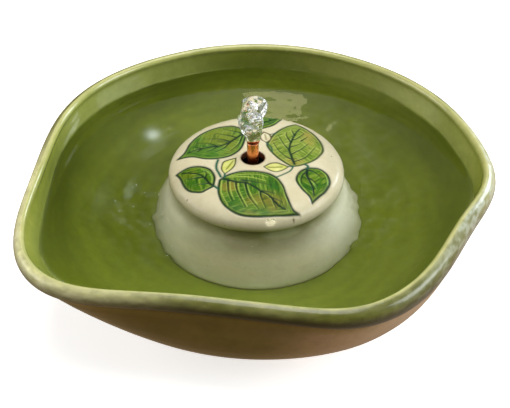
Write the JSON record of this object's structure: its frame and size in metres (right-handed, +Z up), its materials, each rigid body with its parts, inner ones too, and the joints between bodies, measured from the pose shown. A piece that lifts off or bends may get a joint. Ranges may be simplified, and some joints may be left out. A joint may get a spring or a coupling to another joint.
{
  "type": "tabletop fountain with submersible pump",
  "caption": "Ceramic tabletop fountain: wavy-rimmed bowl with a bell-shaped cover hiding a small magnetic-drive submersible pump that lifts water through a copper spout.",
  "frame": {"origin": "centre of the bowl's flat foot, on the surface it stands on", "axes": "+Z up, along the spout; -Y is the front, the pump's intake side; +X to the right seen from the front"},
  "size_m": [0.3796, 0.3598, 0.121],
  "materials": {
    "bowl_glaze": "glossy olive green glaze over stoneware, paler where it breaks over the rim",
    "cover_glaze": "cream clear-glazed stoneware with carved and painted leaves",
    "copper": "bright drawn copper, lightly tarnished",
    "clear_vinyl": "clear flexible vinyl tube",
    "pump_plastic": "black moulded plastic with a fine spark texture",
    "grille_plastic": "black moulded plastic, fine texture",
    "dial_plastic": "grey moulded plastic",
    "black_rubber": "soft black rubber",
    "cup_rubber": "translucent grey soft rubber",
    "stator_steel": "stacked silicon steel laminations",
    "bobbin_plastic": "ivory nylon",
    "coil_copper": "enamelled copper wire, close wound",
    "potting_resin": "poured black epoxy",
    "ferrite": "sintered ferrite",
    "impeller_plastic": "white acetal",
    "shaft_ceramic": "polished alumina",
    "filter_foam": "open-cell black foam"
  },
  "bodies": {
    "bowl_body": {"bowl": "bowl_glaze"},
    "cover_body": {"pump_cover": "cover_glaze"},
    "spout_body": {"copper_spout": "copper"},
    "pump_body": {"riser_hose": "clear_vinyl", "outlet_nozzle": "pump_plastic", "pump_housing": "pump_plastic", "back_plate": "pump_plastic", "cord_gland": "black_rubber", "stator_core": "stator_steel", "coil_bobbin": "bobbin_plastic", "coil_winding": "coil_copper", "potting_block": "potting_resin", "rotor_shaft": "shaft_ceramic", "front_bushing": "black_rubber", "rear_bushing": "black_rubber", "chamber_cover": "pump_plastic", "o_ring": "black_rubber", "suction_cups": "cup_rubber"},
    "rotor_body": {"rotor_magnet": "ferrite", "impeller": "impeller_plastic", "thrust_washers": "impeller_plastic"},
    "grille_body": {"intake_grille": "grille_plastic", "foam_filter": "filter_foam"},
    "dial_body": {"flow_dial": "dial_plastic"}
  },
  "joints": [
    {"name": "pump_lift", "type": "slide", "parent": "bowl_body", "child": "pump_body", "axis": [0, 0, 1], "range_m": [0, 0.12]},
    {"name": "cover_lift", "type": "slide", "parent": "pump_body", "child": "cover_body", "axis": [0, 0, 1], "range_m": [0, 0.125]},
    {"name": "spout_slide", "type": "slide", "parent": "pump_body", "child": "spout_body", "axis": [0, 0, 1], "range_m": [0, 0.03]},
    {"name": "impeller_spin", "type": "hinge", "parent": "pump_body", "child": "rotor_body", "pos_m": [-0.003, 0, 0.035], "axis": [0, 1, 0], "continuous": true},
    {"name": "grille_pull", "type": "slide", "parent": "pump_body", "child": "grille_body", "axis": [0, -1, 0], "range_m": [0, 0.018]},
    {"name": "dial_turn", "type": "hinge", "parent": "grille_body", "child": "dial_body", "pos_m": [-0.003, -0.028, 0.035], "axis": [0, 1, 0], "range_deg": [0, 45]}
  ]
}
